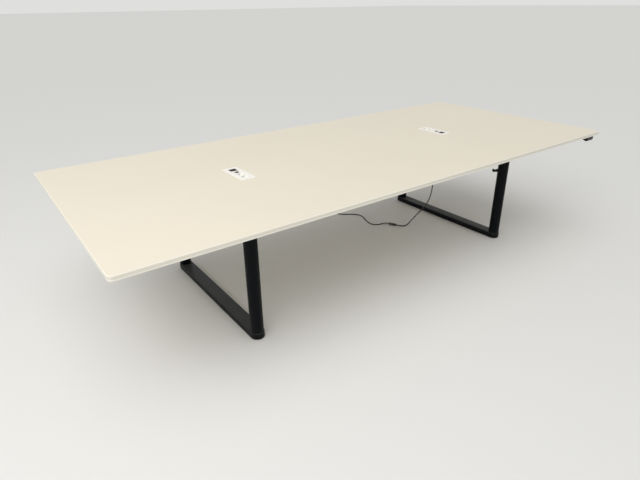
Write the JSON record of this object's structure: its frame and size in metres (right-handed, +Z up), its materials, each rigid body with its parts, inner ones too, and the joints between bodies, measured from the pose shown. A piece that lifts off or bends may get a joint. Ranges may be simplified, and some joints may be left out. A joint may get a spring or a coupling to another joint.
{
  "type": "height-adjustable meeting table",
  "caption": "Long meeting table whose top rises on motor-driven telescopic columns, with power units let into the top, a handset, and a mains lead.",
  "frame": {"origin": "on the floor, under the middle of the top, fully lowered", "axes": "+X along the top to the end with the handset, +Y from the handset's long side to the far one, +Z up"},
  "size_m": [3.2, 1.4, 0.688],
  "materials": {
    "cream_laminate": "satin laminate",
    "cream_edging": "satin edging",
    "black_powder_coat": "satin powder coat",
    "black_inner_tube": "satin powder coat",
    "cast_aluminium": "black-painted casting",
    "motor_steel": "black paint",
    "black_guide_plastic": "matte",
    "zinc_plated_steel": "zinc plated",
    "spindle_steel": "oiled",
    "nut_bronze": "plain",
    "foot_plastic": "matte",
    "handset_plastic": "matte",
    "button_plastic": "matte",
    "control_box_plastic": "matte",
    "white_cover": "satin",
    "white_module": "satin",
    "white_usb": "satin",
    "black_data": "satin",
    "grey_housing": "matte",
    "cable_rubber": "matte",
    "coupler_plastic": "matte"
  },
  "bodies": {
    "base": {"foot_bar_left": "black_powder_coat", "foot_bar_right": "black_powder_coat", "outer_tube_front_left": "black_powder_coat", "outer_tube_front_right": "black_powder_coat", "outer_tube_back_left": "black_powder_coat", "outer_tube_back_right": "black_powder_coat", "guide_collars": "black_guide_plastic", "column_foot_plates": "zinc_plated_steel", "push_tubes": "zinc_plated_steel", "spindle_nuts": "nut_bronze", "foot_screws": "zinc_plated_steel", "cable_hook": "black_powder_coat", "coupler_socket": "coupler_plastic", "coupler_plug": "coupler_plastic", "lead_floor": "cable_rubber", "lead_coil": "cable_rubber", "mains_plug": "coupler_plastic"},
    "top": {"tabletop": "cream_laminate", "edge_band": "cream_edging", "side_arm_left": "black_powder_coat", "side_arm_right": "black_powder_coat", "long_rail_front": "black_powder_coat", "long_rail_back": "black_powder_coat", "outriggers": "black_powder_coat", "gear_head_front_left": "cast_aluminium", "gear_head_front_right": "cast_aluminium", "gear_head_back_left": "cast_aluminium", "gear_head_back_right": "cast_aluminium", "inner_tube_front_left": "black_inner_tube", "inner_tube_front_right": "black_inner_tube", "inner_tube_back_left": "black_inner_tube", "inner_tube_back_right": "black_inner_tube", "lift_motors": "motor_steel", "guide_bushes": "black_guide_plastic", "thrust_bearings": "spindle_steel", "frame_bolts": "zinc_plated_steel", "top_screws": "zinc_plated_steel", "handset_housing": "handset_plastic", "control_box": "control_box_plastic", "power_cover_left": "white_cover", "power_cover_right": "white_cover", "power_housing_left": "grey_housing", "power_housing_right": "grey_housing", "data_modules": "black_data", "usb_modules": "white_usb", "power_sockets": "white_module", "strain_relief": "cable_rubber", "lead_drop": "cable_rubber"},
    "spindle_front_left": {"spindle_front_left": "spindle_steel"},
    "levelling_foot_front_left": {"levelling_foot_front_left": "foot_plastic"},
    "spindle_front_right": {"spindle_front_right": "spindle_steel"},
    "levelling_foot_front_right": {"levelling_foot_front_right": "foot_plastic"},
    "spindle_back_left": {"spindle_back_left": "spindle_steel"},
    "levelling_foot_back_left": {"levelling_foot_back_left": "foot_plastic"},
    "spindle_back_right": {"spindle_back_right": "spindle_steel"},
    "levelling_foot_back_right": {"levelling_foot_back_right": "foot_plastic"},
    "up_button": {"up_button": "button_plastic"},
    "down_button": {"down_button": "button_plastic"}
  },
  "joints": [
    {"name": "lift", "type": "slide", "parent": "base", "child": "top", "axis": [0, 0, 1], "range_m": [0, 0.42]},
    {"name": "spindle_turn_front_left", "type": "hinge", "parent": "top", "child": "spindle_front_left", "pos_m": [-0.94, -0.443, 0.4], "axis": [0, 0, 1], "range_deg": [-5, 7565]},
    {"name": "spindle_turn_front_right", "type": "hinge", "parent": "top", "child": "spindle_front_right", "pos_m": [0.94, -0.443, 0.4], "axis": [0, 0, 1], "range_deg": [-5, 7565]},
    {"name": "spindle_turn_back_left", "type": "hinge", "parent": "top", "child": "spindle_back_left", "pos_m": [-0.94, 0.443, 0.4], "axis": [0, 0, 1], "range_deg": [-5, 7565]},
    {"name": "spindle_turn_back_right", "type": "hinge", "parent": "top", "child": "spindle_back_right", "pos_m": [0.94, 0.443, 0.4], "axis": [0, 0, 1], "range_deg": [-5, 7565]},
    {"name": "level_front_left", "type": "slide", "parent": "base", "child": "levelling_foot_front_left", "axis": [0, 0, -1], "range_m": [0, 0.01]},
    {"name": "level_front_right", "type": "slide", "parent": "base", "child": "levelling_foot_front_right", "axis": [0, 0, -1], "range_m": [0, 0.01]},
    {"name": "level_back_left", "type": "slide", "parent": "base", "child": "levelling_foot_back_left", "axis": [0, 0, -1], "range_m": [0, 0.01]},
    {"name": "level_back_right", "type": "slide", "parent": "base", "child": "levelling_foot_back_right", "axis": [0, 0, -1], "range_m": [0, 0.01]},
    {"name": "up_press", "type": "slide", "parent": "top", "child": "up_button", "axis": [0, 1, 0], "range_m": [0, 0.0015], "stiffness_N_per_m": 600, "springref_m": -0.002},
    {"name": "down_press", "type": "slide", "parent": "top", "child": "down_button", "axis": [0, 1, 0], "range_m": [0, 0.0015], "stiffness_N_per_m": 600, "springref_m": -0.002}
  ],
  "couplings": [
    {"joint": "spindle_turn_front_left", "follows": "lift", "rad_per_m": 314.16},
    {"joint": "spindle_turn_front_right", "follows": "lift", "rad_per_m": 314.16},
    {"joint": "spindle_turn_back_left", "follows": "lift", "rad_per_m": 314.16},
    {"joint": "spindle_turn_back_right", "follows": "lift", "rad_per_m": 314.16}
  ]
}
